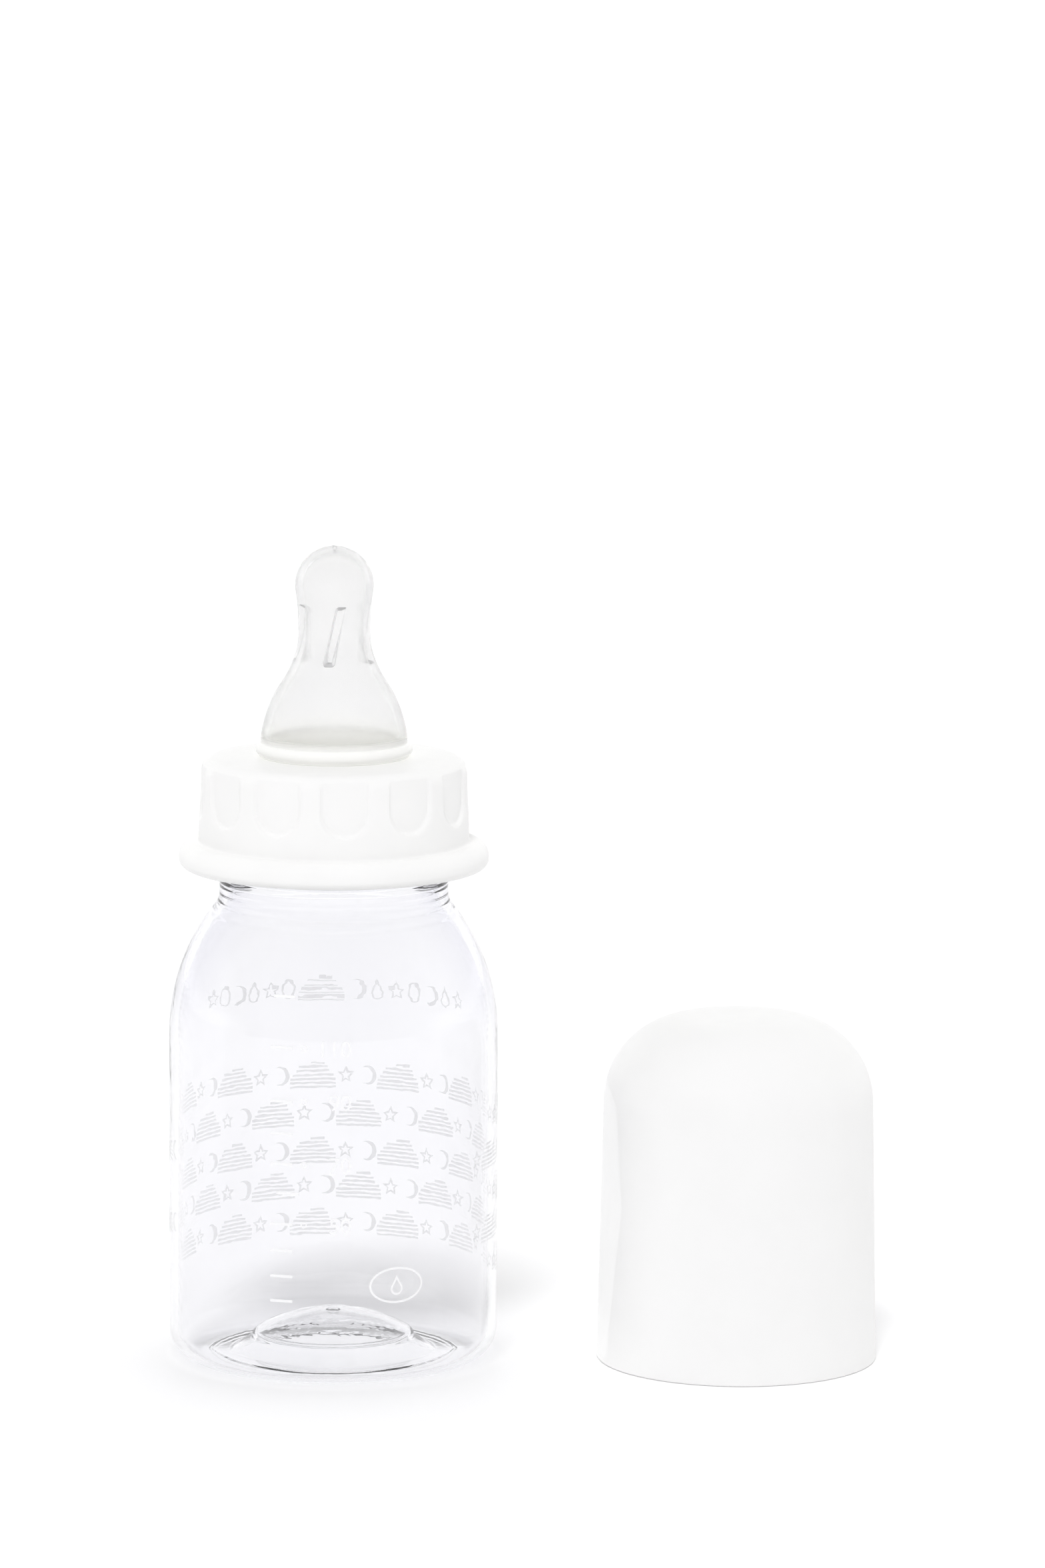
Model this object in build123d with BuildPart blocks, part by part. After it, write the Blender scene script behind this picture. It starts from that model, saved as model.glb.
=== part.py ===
"""A small feeding bottle: clear bottle, silicone teat, screw ring and protective cap.

The origin is the centre of the bottle's base and +Z is up. The teat and the screw ring are
fitted, and the cap stands beside the bottle on its open mouth, on the +X side.
"""
from build123d import *
from math import atan2, cos, degrees, radians, sin, sqrt, tan
import os

os.makedirs("parts", exist_ok=True)

# ---- Bottle: driving dimensions ------------------------------------------------------------
body_radius = 27.0
bottle_wall = 1.6
base_corner = 4.8  # outer rounding between the base and the wall
shoulder_start = 54.0  # height at which the straight wall ends
shoulder_arc = 33.9  # radius of the long convex shoulder
shoulder_hollow = 4.0  # radius of the hollow between shoulder and neck
neck_root_radius = 18.75  # plain neck that shows under the screw ring
neck_root_top = 80.6
neck_radius = 18.2
neck_bore = 16.4
neck_bore_start = 81.4
rim_height = 96.2
rim_rounding = 0.4

# The base is pushed up into a dome with a sloping skirt, inside the foot that it stands on.
base_wall = 1.0
foot_inner_radius = 19.8
foot_slope = 0.6
dome_centre_height = -17.4  # centre of the arc that shapes the dome
dome_under_arc = 24.5
dome_under_turn = 30.0  # the dome's arc ends this many degrees from the axis
dome_inside_turn = 31.0
step_under = (12.55, 2.75)
step_inside = (13.4, 3.4)
skirt_under = (16.6, 0.3)
skirt_inside = (16.88, 1.3)
floor_corner = 3.8  # inner rounding between the floor and the wall
floor_edge_radius = 20.6  # the floor is level from here to its rounding
gate_radius = 0.9
gate_height = 6.8

# ---- Thread between the neck and the screw ring ---------------------------------------------
thread_lead = 4.0
thread_turns = 2.0
thread_start = 84.6  # height of the neck thread's middle where it begins
thread_root_width = 1.8
thread_crest_width = 0.8
thread_sink = 0.3  # how deep each thread's root is sunk into its wall
neck_thread_crest = 19.4
ring_thread_crest = 18.7
ring_thread_drop = 1.5  # the ring's thread lies this far under the neck's

# ---- Teat: driving dimensions ---------------------------------------------------------------
teat_wall = 1.2
head_radius = 6.4
head_centre = 127.95
head_wrap = 9.6  # the round head ends this many degrees below its widest place
waist_and_flare = [(5.86, 121.4), (6.15, 117.5), (7.6, 113.7), (9.95, 109.75), (11.4, 105.8)]
flare_end = (12.0, 102.3)
bead_widest = (12.85, 101.1)
bead_foot_radius = 12.3
groove_radius = 11.3
teat_bore = 10.4
teat_bore_top = 101.3
flange_radius = 18.0
seal_lip_inner = 14.9
seal_lip_outer = 15.9
seal_lip_depth = 1.0
milk_hole_radius = 0.35
rib_count = 4
rib_width = 1.5
rib_foot = 115.3
rib_length = 9.4
rib_lean = -13.0
rib_inner_radius = 3.9
rib_phase = -87.5

# ---- Screw ring: driving dimensions ---------------------------------------------------------
ring_top = 99.9
ring_top_flat = 13.4  # the top is level out to this radius, then falls a little
ring_top_thickness = 1.8
ring_hole = 11.6
ring_edge_height = 99.5
ring_rounding = 2.4
ring_top_radius = 21.85
ring_crease_radius = 22.15
ring_crease_height = 85.85
ring_flange_radius = 25.37
ring_flange_top_round = 2.4
ring_flange_foot_round = 1.4
ring_bottom = 81.6
ring_bore = 19.9
ring_relief_inner = 21.4  # hollow under the flange, which keeps its wall thin
ring_relief_outer = 23.6
ring_relief_depth = 2.2

grip_count = 12
grip_phase = 6.3  # first grip's angle from -Y towards +X
grip_width = 9.0
grip_foot = 89.3
grip_floor_radius = 21.45
grip_mouth_radius = 22.35
grip_reach = 1.6
grip_draft = 30.0

# ---- Protective cap: driving dimensions -----------------------------------------------------
cap_place = 66.6  # from the bottle's axis to the cap's
cap_wall = 0.8
cap_draft = 1.2
cap_shoulder_arc = 14.2
cap_shoulder_centre = (7.97, 42.75)
cap_crown_arc = 160.0
cap_seat_radius = 22.25  # straight band that slips over the screw ring
cap_seat_length = 8.0

clear = 5.0  # how far a cutting tool runs past what it cuts


# ---- Bottle ---------------------------------------------------------------------------------
shoulder_centre = body_radius - shoulder_arc
hollow_centre = neck_root_radius + shoulder_hollow
hollow_span = hollow_centre - shoulder_centre
hollow_rise = sqrt((shoulder_arc + shoulder_hollow) ** 2 - hollow_span**2)
shoulder_turn = degrees(atan2(hollow_rise, hollow_span))
neck_root_height = shoulder_start + hollow_rise


def dome_end(arc, turn):
    """Return the radius and height at which the dome's arc ends."""
    return (arc * sin(radians(turn)), dome_centre_height + arc * cos(radians(turn)))


def shoulder_and_hollow(inset):
    """Draw the shoulder's outline up to the foot of the neck, moved inwards by inset."""
    CenterArc((shoulder_centre, shoulder_start), shoulder_arc - inset, 0, shoulder_turn)
    CenterArc(
        (hollow_centre, neck_root_height),
        shoulder_hollow + inset,
        180 + shoulder_turn,
        -shoulder_turn,
    )


def outside_of_base():
    """Draw the bottle's outline from the axis to the top of its straight wall."""
    dome_top = (0, dome_centre_height + dome_under_arc)
    CenterArc((0, dome_centre_height), dome_under_arc, 90, -dome_under_turn)
    Polyline(
        dome_end(dome_under_arc, dome_under_turn),
        step_under,
        skirt_under,
        (foot_inner_radius, skirt_under[1]),
        (foot_inner_radius + foot_slope, 0),
        (body_radius - base_corner, 0),
    )
    CenterArc((body_radius - base_corner, base_corner), base_corner, -90, 90)
    Line((body_radius, base_corner), (body_radius, shoulder_start))
    return dome_top


def inside_of_base():
    """Draw the outline of the bottle's hollow from the axis to the top of its straight wall."""
    dome_arc = dome_under_arc + base_wall
    dome_top = (0, dome_centre_height + dome_arc)
    wall_radius = body_radius - bottle_wall
    corner_radius = wall_radius - floor_corner
    CenterArc((0, dome_centre_height), dome_arc, 90, -dome_inside_turn)
    Polyline(
        dome_end(dome_arc, dome_inside_turn),
        step_inside,
        skirt_inside,
        (foot_inner_radius, skirt_inside[1]),
        (floor_edge_radius, base_wall),
        (corner_radius, base_wall),
    )
    CenterArc((corner_radius, base_wall + floor_corner), floor_corner, -90, 90)
    Line((wall_radius, base_wall + floor_corner), (wall_radius, shoulder_start))
    return dome_top


def thread(root_radius, crest_radius, start):
    """Return a right-handed thread ridge between two radii, its middle starting at a height."""
    rise = crest_radius - root_radius
    with BuildPart() as ridge:
        with BuildLine() as helix:
            Helix(thread_lead, thread_lead * thread_turns, root_radius, center=(0, 0, start))
        section = Plane(origin=helix.line @ 0, x_dir=(1, 0, 0), z_dir=helix.line % 0)
        with BuildSketch(section):
            Polygon(
                (0, -thread_root_width / 2),
                (rise, -thread_crest_width / 2),
                (rise, thread_crest_width / 2),
                (0, thread_root_width / 2),
                align=None,
            )
        sweep(path=helix.line, is_frenet=True)
    return ridge.part


neck_thread = thread(neck_radius - thread_sink, neck_thread_crest, thread_start)

with BuildPart() as bottle:
    with BuildSketch(Plane.XZ):
        with BuildLine():
            dome_top = outside_of_base()
            shoulder_and_hollow(0)
            Polyline(
                (neck_root_radius, neck_root_height),
                (neck_root_radius, neck_root_top),
                (neck_radius, neck_root_top),
                (neck_radius, rim_height),
                (0, rim_height),
                dome_top,
            )
        make_face()
    revolve(axis=Axis.Z)
    with BuildSketch(Plane.XZ):
        with BuildLine():
            dome_top = inside_of_base()
            shoulder_and_hollow(bottle_wall)
            Polyline(
                (neck_root_radius - bottle_wall, neck_root_height),
                (neck_root_radius - bottle_wall, neck_root_top - bottle_wall),
                (neck_bore, neck_bore_start),
                (neck_bore, rim_height + clear),
                (0, rim_height + clear),
                dome_top,
            )
        make_face()
    revolve(axis=Axis.Z, mode=Mode.SUBTRACT)
    fillet(bottle.faces().sort_by(Axis.Z)[-1].edges(), radius=rim_rounding)
    with BuildSketch(Plane.XY.offset(gate_height)):
        Circle(gate_radius)
    extrude(amount=base_wall)
    add(neck_thread)

bottle.part.label = "bottle"
export_step(bottle.part, "parts/bottle.step")


# ---- Teat -----------------------------------------------------------------------------------
head_end = (
    head_radius * cos(radians(head_wrap)),
    head_centre - head_radius * sin(radians(head_wrap)),
)
head_end_direction = (-sin(radians(head_wrap)), -cos(radians(head_wrap)))
flare = Spline(
    [head_end, *waist_and_flare, flare_end],
    tangents=[head_end_direction, (0, -1)],
)


def teat_skin(inset):
    """Draw the teat's outline from its tip to the foot of the flare, moved inwards by inset."""
    CenterArc((0, head_centre), head_radius - inset, 90, -90 - head_wrap)
    steps = [index / (len(waist_and_flare) + 1) for index in range(len(waist_and_flare) + 2)]
    points = [flare @ step + (flare % step).cross(Vector(0, 0, 1)) * inset for step in steps]
    Spline(points, tangents=[flare % 0, flare % 1])
    return points[-1]


with BuildPart() as rib_space:
    with BuildSketch(Plane.XZ):
        with BuildLine():
            foot = teat_skin(teat_wall / 2)
            Polyline(foot, (0, foot.Y), (0, head_centre + head_radius - teat_wall / 2))
        make_face()
    revolve(axis=Axis.Z)

with BuildPart() as teat_ribs:
    with PolarLocations(rib_inner_radius, rib_count, start_angle=rib_phase):
        with Locations((0, 0, rib_foot + rib_length / 2)):
            Box(
                head_radius,
                rib_width,
                rib_length,
                rotation=(rib_lean, 0, 0),
                align=(Align.MIN, Align.CENTER, Align.CENTER),
            )
    add(rib_space.part, mode=Mode.INTERSECT)

with BuildPart() as teat:
    with BuildSketch(Plane.XZ):
        with BuildLine():
            foot = teat_skin(0)
            ThreePointArc(foot, bead_widest, (bead_foot_radius, ring_top))
            Polyline(
                (bead_foot_radius, ring_top),
                (groove_radius, ring_top),
                (groove_radius, ring_top - ring_top_thickness),
                (flange_radius, ring_top - ring_top_thickness),
                (flange_radius, rim_height),
                (seal_lip_outer, rim_height),
                (seal_lip_outer, rim_height - seal_lip_depth),
                (seal_lip_inner, rim_height - seal_lip_depth),
                (seal_lip_inner, rim_height),
                (0, rim_height),
                (0, head_centre + head_radius),
            )
        make_face()
    revolve(axis=Axis.Z)
    with BuildSketch(Plane.XZ):
        with BuildLine():
            foot = teat_skin(teat_wall)
            Polyline(
                foot,
                (teat_bore, teat_bore_top),
                (teat_bore, rim_height - clear),
                (0, rim_height - clear),
                (0, head_centre + head_radius - teat_wall),
            )
        make_face()
    revolve(axis=Axis.Z, mode=Mode.SUBTRACT)
    add(teat_ribs.part)
    with Locations((0, 0, head_centre + head_radius)):
        Cylinder(milk_hole_radius, 2 * clear, mode=Mode.SUBTRACT)

teat.part.label = "teat"
export_step(teat.part, "parts/teat.step")


# ---- Screw ring -----------------------------------------------------------------------------
ring_thread = thread(ring_bore + thread_sink, ring_thread_crest, thread_start - ring_thread_drop)


def facing_out(angle, radius):
    """Return the upright plane that touches a radius, at an angle from -Y towards +X."""
    outwards = Vector(sin(radians(angle)), -cos(radians(angle)), 0)
    return Plane(origin=outwards * radius, x_dir=outwards.rotate(Axis.Z, 90), z_dir=outwards)


with BuildPart() as grip_cutters:
    for index in range(grip_count):
        with BuildSketch(facing_out(grip_phase + index * 360 / grip_count, grip_mouth_radius)):
            with Locations((0, grip_foot + grip_width / 2)):
                Circle(grip_width / 2)
                Rectangle(grip_width, ring_top - grip_foot, align=(Align.CENTER, Align.MIN))
        extrude(amount=-grip_reach, taper=grip_draft)
    Cylinder(
        grip_floor_radius,
        ring_top + clear,
        align=(Align.CENTER, Align.CENTER, Align.MIN),
        mode=Mode.SUBTRACT,
    )

with BuildPart() as screw_ring:
    with BuildSketch(Plane.XZ):
        with BuildLine():
            Polyline(
                (ring_hole, ring_top),
                (ring_top_flat, ring_top),
                (ring_top_radius - ring_rounding, ring_edge_height),
            )
            CenterArc(
                (ring_top_radius - ring_rounding, ring_edge_height - ring_rounding),
                ring_rounding,
                90,
                -90,
            )
            flange_top_centre = (
                ring_flange_radius - ring_flange_top_round,
                ring_crease_height - ring_flange_top_round,
            )
            flange_foot_centre = (
                ring_flange_radius - ring_flange_foot_round,
                ring_bottom + ring_flange_foot_round,
            )
            Polyline(
                (ring_top_radius, ring_edge_height - ring_rounding),
                (ring_crease_radius, ring_crease_height),
                (flange_top_centre[0], ring_crease_height),
            )
            CenterArc(flange_top_centre, ring_flange_top_round, 90, -90)
            Line(
                (ring_flange_radius, flange_top_centre[1]),
                (ring_flange_radius, flange_foot_centre[1]),
            )
            CenterArc(flange_foot_centre, ring_flange_foot_round, 0, -90)
            Polyline(
                (flange_foot_centre[0], ring_bottom),
                (ring_relief_outer, ring_bottom),
                (ring_relief_outer, ring_bottom + ring_relief_depth),
                (ring_relief_inner, ring_bottom + ring_relief_depth),
                (ring_relief_inner, ring_bottom),
                (ring_bore, ring_bottom),
                (ring_bore, ring_top - ring_top_thickness),
                (ring_hole, ring_top - ring_top_thickness),
                (ring_hole, ring_top),
            )
        make_face()
    revolve(axis=Axis.Z)
    add(ring_thread)
    add(grip_cutters.part, mode=Mode.SUBTRACT)

screw_ring.part.label = "screw_ring"
export_step(screw_ring.part, "parts/screw_ring.step")


# ---- Protective cap -------------------------------------------------------------------------
crown_drop = sqrt((cap_crown_arc - cap_shoulder_arc) ** 2 - cap_shoulder_centre[0] ** 2)
crown_centre = (0, cap_shoulder_centre[1] - crown_drop)
crown_start = degrees(atan2(crown_drop, cap_shoulder_centre[0]))


def cap_skin(inset):
    """Draw the cap's outline from the top of its drafted wall to its crown, moved inwards."""
    CenterArc(cap_shoulder_centre, cap_shoulder_arc - inset, cap_draft, crown_start - cap_draft)
    CenterArc(crown_centre, cap_crown_arc - inset, crown_start, 90 - crown_start)


def cap_wall_top(inset):
    """Return where the drafted wall meets the shoulder."""
    reach = cap_shoulder_arc - inset
    return (
        cap_shoulder_centre[0] + reach * cos(radians(cap_draft)),
        cap_shoulder_centre[1] + reach * sin(radians(cap_draft)),
    )


cap_axis = Plane(origin=(cap_place, 0, 0), x_dir=(1, 0, 0), z_dir=(0, -1, 0))
crown_height = crown_centre[1] + cap_crown_arc

with BuildPart() as cap:
    with BuildSketch(cap_axis):
        with BuildLine():
            wall_top = cap_wall_top(0)
            cap_skin(0)
            Polyline(
                (0, crown_height),
                (0, 0),
                (wall_top[0] + wall_top[1] * tan(radians(cap_draft)), 0),
                wall_top,
            )
        make_face()
    revolve(axis=Axis((cap_place, 0, 0), (0, 0, 1)))
    with BuildSketch(cap_axis):
        with BuildLine():
            wall_top = cap_wall_top(cap_wall)
            cap_skin(cap_wall)
            Polyline(
                (0, crown_height - cap_wall),
                (0, -clear),
                (cap_seat_radius, -clear),
                (cap_seat_radius, cap_seat_length),
                wall_top,
            )
        make_face()
    revolve(axis=Axis((cap_place, 0, 0), (0, 0, 1)), mode=Mode.SUBTRACT)

cap.part.label = "cap"
export_step(cap.part, "parts/cap.step")
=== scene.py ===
"""Looks for a small feeding bottle with its teat and screw ring fitted, and its cap beside it."""
import math

import bmesh
import bpy
from mathutils import Matrix, Vector


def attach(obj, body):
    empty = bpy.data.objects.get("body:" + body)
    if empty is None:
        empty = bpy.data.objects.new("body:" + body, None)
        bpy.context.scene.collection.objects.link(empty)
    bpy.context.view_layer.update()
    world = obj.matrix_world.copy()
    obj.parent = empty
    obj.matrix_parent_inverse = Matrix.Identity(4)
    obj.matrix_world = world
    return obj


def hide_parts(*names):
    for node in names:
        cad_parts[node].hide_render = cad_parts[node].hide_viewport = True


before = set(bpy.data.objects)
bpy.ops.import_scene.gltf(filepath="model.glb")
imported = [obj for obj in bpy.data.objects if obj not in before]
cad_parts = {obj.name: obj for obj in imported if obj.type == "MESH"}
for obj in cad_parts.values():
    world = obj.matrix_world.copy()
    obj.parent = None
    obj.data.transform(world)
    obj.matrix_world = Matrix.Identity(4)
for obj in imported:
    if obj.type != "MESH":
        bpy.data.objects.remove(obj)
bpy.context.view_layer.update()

MM = 0.001

# ---- Dimensions in millimetres, the same as the CAD's --------------------------------------
BODY_RADIUS = 27.0
BOTTLE_WALL = 1.6
BASE_CORNER = 4.8
SHOULDER_START = 54.0
SHOULDER_ARC = 33.9
SHOULDER_HOLLOW = 4.0
NECK_ROOT_RADIUS = 18.75
NECK_ROOT_TOP = 80.6
NECK_RADIUS = 18.2
NECK_BORE = 16.4
NECK_BORE_START = 81.4
NECK_RIPPLES = [73.6, 75.3, 76.8, 78.2]  # heights of faint rings inside the neck's foot
NECK_RIPPLE = 0.08
NECK_RIPPLE_WIDTH = 0.35
RIM_HEIGHT = 96.2
RIM_ROUNDING = 0.4
BASE_WALL = 1.0
FOOT_INNER_RADIUS = 19.8
FOOT_SLOPE = 0.6
DOME_CENTRE_HEIGHT = -17.4
DOME_UNDER_ARC = 24.5
DOME_UNDER_TURN = 30.0  # the dome's arc ends this many degrees from the axis
DOME_INSIDE_TURN = 31.0
STEP_UNDER = (12.55, 2.75)
STEP_INSIDE = (13.4, 3.4)
SKIRT_UNDER = (16.6, 0.3)
SKIRT_INSIDE = (16.88, 1.3)
FLOOR_CORNER = 3.8
FLOOR_EDGE = 20.6
GATE = (0.9, 6.8)  # radius and height of the moulding gate's nub

THREAD_LEAD = 4.0
THREAD_TURNS = 2.0
THREAD_START = 84.6
THREAD_ROOT_WIDTH = 1.8
THREAD_CREST_WIDTH = 0.8
NECK_THREAD_CREST = 19.4
RING_THREAD_CREST = 18.7
RING_THREAD_DROP = 1.5
THREAD_FADE = 0.06  # turns over which a thread's end dies away

TEAT_WALL = 1.2
HEAD_RADIUS = 6.4
HEAD_CENTRE = 127.95
HEAD_WRAP = 9.6
WAIST_AND_FLARE = [(5.86, 121.4), (6.15, 117.5), (7.6, 113.7), (9.95, 109.75), (11.4, 105.8)]
FLARE_END = (12.0, 102.3)
BEAD = ((11.75, 101.1), 1.1)
BEAD_FOOT = 12.3
GROOVE_RADIUS = 11.3
TEAT_BORE = 10.4
TEAT_BORE_TOP = 101.3
TEAT_FLANGE_RADIUS = 18.0
SEAL_LIP = (14.9, 15.9, 1.0)  # inner radius, outer radius, depth
MILK_HOLE_RADIUS = 0.35
RIB_COUNT = 4
RIB_WIDTH = 1.5
RIB_FOOT = 115.3
RIB_LENGTH = 9.4
RIB_LEAN = 13.0
RIB_INNER_RADIUS = 3.9
RIB_PHASE = -87.5  # angle of the first rib's middle, from +X
RIB_EDGE = 0.7  # width of a rib's soft edge

RING_TOP = 99.9
RING_TOP_FLAT = 13.4
RING_TOP_THICKNESS = 1.8
RING_HOLE = 11.6
RING_EDGE_HEIGHT = 99.5
RING_ROUNDING = 2.4
RING_TOP_RADIUS = 21.85
RING_CREASE = (22.15, 85.85)
RING_FLANGE_RADIUS = 25.37
RING_FLANGE_TOP_ROUND = 2.4
RING_FLANGE_FOOT_ROUND = 1.4
RING_BOTTOM = 81.6
RING_BORE = 19.9
RING_RELIEF = (21.4, 23.6, 2.2)  # inner radius, outer radius, depth
GRIP_COUNT = 12
GRIP_PHASE = 6.3
GRIP_WIDTH = 8.7
GRIP_FOOT = 89.45
GRIP_FLOOR = 21.45
GRIP_EDGE = 0.6  # width of a grip's soft edge

CAP_PLACE = 66.6
CAP_WALL = 0.8
CAP_DRAFT = 1.2
CAP_SHOULDER_ARC = 14.2
CAP_SHOULDER_CENTRE = (7.97, 42.75)
CAP_CROWN_ARC = 160.0
CAP_SEAT_RADIUS = 22.25
CAP_SEAT_LENGTH = 8.0
CAP_LIP_ROUNDING = 0.3

INK_RISE = 0.03
INK_SINK = 0.05
INK_CUT = 1.2  # the longest piece of ink that stays straight
# heights of the marks and the numbers beside them
SCALE_MARKS = [
    (14.5, ""),
    (18.6, ""),
    (22.8, ""),
    (27.2, "50"),
    (32.3, ""),
    (37.1, "70"),
    (42.1, ""),
    (47.4, "90"),
    (56.2, "110"),
    (64.3, ""),
]
SCALE_START = -20.75  # degrees from the front towards +X
SCALE_SHIFTED = 32.3  # the one mark that starts further right
SCALE_SHIFTED_START = -18.5
SCALE_LENGTH = 3.77
SCALE_STROKE = 0.45
SCALE_RING = (0.53, 0.53, 0.22)
SCALE_RING_PLACE = -8.8
NUMERAL_END = 7.6
NUMERAL_HEIGHT = 2.7
CAPITAL_SHARE = 0.72  # height of a digit in a font of size 1
# height and the first cloud's angle, in degrees from the back
PRINT_ROWS = [(41.6, -41.7), (35.3, -57.2), (29.0, -41.7), (23.2, -57.2), (17.1, -41.7)]
PRINT_COUNT = 11  # clouds all round, of which those between two angles are printed
PRINT_FROM = 62
PRINT_TO = 286
BAND_HEIGHT = 56.5
CLOUD_STRIPES = 7
CLOUD_PITCH = 0.67
CLOUD_STROKE = 0.34
CLOUD_MIDDLE = 2.2  # from a cloud's foot to the middle of its row
STROKE = 0.3
DROP_STROKE = 0.32
MARK_PLACE = (23.75, 17.0)  # degrees from the front, height
MARK_SIZE = (4.7, 2.98)


# ---- Outlines: lists of (radius, height) in millimetres, walked with the material on the left ---
def arc(centre, radius, start, end, step=7.0):
    """Points along an arc, its angles in degrees from the outward direction."""
    count = max(2, math.ceil(abs(end - start) / step))
    points = []
    for index in range(count + 1):
        angle = math.radians(start + (end - start) * index / count)
        points.append((centre[0] + radius * math.cos(angle), centre[1] + radius * math.sin(angle)))
    return points


def rounded(corners):
    """An outline whose corners are rounded to the radius given as their third number."""
    points = []
    for index, corner in enumerate(corners):
        if len(corner) == 2:
            points.append(corner)
            continue
        place = Vector(corner[:2])
        back = (Vector(corners[index - 1][:2]) - place).normalized()
        ahead = (Vector(corners[(index + 1) % len(corners)][:2]) - place).normalized()
        half = back.angle(ahead) / 2
        centre = place + (back + ahead).normalized() * corner[2] / math.sin(half)
        reach = corner[2] / math.tan(half)
        first = place + back * reach - centre
        last = place + ahead * reach - centre
        start = math.degrees(math.atan2(first.y, first.x))
        turn = math.degrees(math.atan2(last.y, last.x)) - start
        turn = (turn + 180) % 360 - 180
        points += arc(centre, corner[2], start, start + turn, 15.0)
    return points


def refined(points, longest):
    """The same outline with its long runs cut into equal parts no longer than longest."""
    result = [points[0]]
    for start, end in zip(points, points[1:]):
        count = max(1, math.ceil(math.dist(start, end) / longest))
        for index in range(1, count + 1):
            share = index / count
            result.append(tuple(a + (b - a) * share for a, b in zip(start, end)))
    return result


def smooth_step(value):
    value = min(max(value, 0.0), 1.0)
    return value * value * (3 - 2 * value)


def lathe(name, outline, segments, place=0.0, closed=True, shift=None):
    """Turn an outline about an upright axis. shift(row, radius, height, angle) moves a point in or out."""
    vertices = []
    rings = []
    for row, (radius, height) in enumerate(outline):
        if radius < 1e-6:
            rings.append([len(vertices)])
            vertices.append((place * MM, 0, height * MM))
            continue
        ring = []
        for segment in range(segments):
            angle = 2 * math.pi * segment / segments
            reach = shift(row, radius, height, angle) if shift else radius
            ring.append(len(vertices))
            x, y = place + reach * math.cos(angle), reach * math.sin(angle)
            vertices.append((x * MM, y * MM, height * MM))
        rings.append(ring)
    pairs = list(zip(rings, rings[1:]))
    if closed:
        pairs.append((rings[-1], rings[0]))
    faces = []
    for first, second in pairs:
        if len(first) == 1 and len(second) == 1:
            continue
        for segment in range(segments):
            after = (segment + 1) % segments
            if len(first) == 1:
                faces.append((first[0], second[after], second[segment]))
            elif len(second) == 1:
                faces.append((first[segment], first[after], second[0]))
            else:
                faces.append((first[segment], first[after], second[after], second[segment]))
    mesh = bpy.data.meshes.new(name)
    mesh.from_pydata(vertices, [], faces)
    mesh.validate()
    mesh.shade_smooth()
    mesh.set_sharp_from_angle(angle=math.radians(38))
    piece = bpy.data.objects.new(name, mesh)
    bpy.context.scene.collection.objects.link(piece)
    return piece


def thread_rise(height, angle, start, rise):
    """How far a thread's ridge stands off its wall at a place on the wall."""
    best = 0.0
    for winding in range(math.ceil(THREAD_TURNS)):
        along = angle / (2 * math.pi) + winding
        away = abs(height - start - THREAD_LEAD * along)
        flank = (THREAD_ROOT_WIDTH / 2 - away) / ((THREAD_ROOT_WIDTH - THREAD_CREST_WIDTH) / 2)
        fade = min(along, THREAD_TURNS - along) / THREAD_FADE
        best = max(best, rise * smooth_step(flank) * smooth_step(fade))
    return best


# ---- Bottle ---------------------------------------------------------------------------------
def shoulder(inset):
    """The bottle's outline from the top of its straight wall to its neck, moved inwards by inset."""
    shoulder_centre = BODY_RADIUS - SHOULDER_ARC
    hollow_centre = NECK_ROOT_RADIUS + SHOULDER_HOLLOW
    span = hollow_centre - shoulder_centre
    rise = math.sqrt((SHOULDER_ARC + SHOULDER_HOLLOW) ** 2 - span**2)
    turn = math.degrees(math.atan2(rise, span))
    points = arc((shoulder_centre, SHOULDER_START), SHOULDER_ARC - inset, 0, turn, 2.0)
    top = (hollow_centre, SHOULDER_START + rise)
    return points + arc(top, SHOULDER_HOLLOW + inset, 180 + turn, 180)[1:]


def dome_end(dome_arc, turn):
    """Where the dome's arc meets the step below it."""
    radius = dome_arc * math.sin(math.radians(turn))
    return radius, DOME_CENTRE_HEIGHT + dome_arc * math.cos(math.radians(turn))


def base_outside():
    """The base's outline from its middle out over the foot and up to the wall."""
    dome = arc((0, DOME_CENTRE_HEIGHT), DOME_UNDER_ARC, 87, 92.5 - DOME_UNDER_TURN, 1.5)
    corners = [(0, GATE[1]), (*GATE, 0.1), (GATE[0] + 0.1, dome[0][1], 0.05), *dome]
    corners += [
        (*dome_end(DOME_UNDER_ARC, DOME_UNDER_TURN), 0.3),
        (*STEP_UNDER, 1.4),
        (*SKIRT_UNDER, 2.0),
        (FOOT_INNER_RADIUS, SKIRT_UNDER[1], 0.5),
        (FOOT_INNER_RADIUS + FOOT_SLOPE, 0, 0.5),
    ]
    corner = (BODY_RADIUS - BASE_CORNER, BASE_CORNER)
    return rounded(corners + arc(corner, BASE_CORNER, -90, 0))


def base_inside():
    """The floor's outline inside the bottle, from its middle up to the wall."""
    dome_arc = DOME_UNDER_ARC + BASE_WALL
    corners = [(0, DOME_CENTRE_HEIGHT + dome_arc)]
    corners += arc((0, DOME_CENTRE_HEIGHT), dome_arc, 88.5, 93 - DOME_INSIDE_TURN, 1.5)
    corners += [
        (*dome_end(dome_arc, DOME_INSIDE_TURN), 1.2),
        (*STEP_INSIDE, 0.5),
        (*SKIRT_INSIDE, 1.0),
        (FOOT_INNER_RADIUS + 0.1, SKIRT_INSIDE[1], 0.5),
        (FLOOR_EDGE, BASE_WALL, 0.5),
    ]
    corner = (BODY_RADIUS - BOTTLE_WALL - FLOOR_CORNER, BASE_WALL + FLOOR_CORNER)
    return rounded(corners + arc(corner, FLOOR_CORNER, -90, 0))


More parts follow.
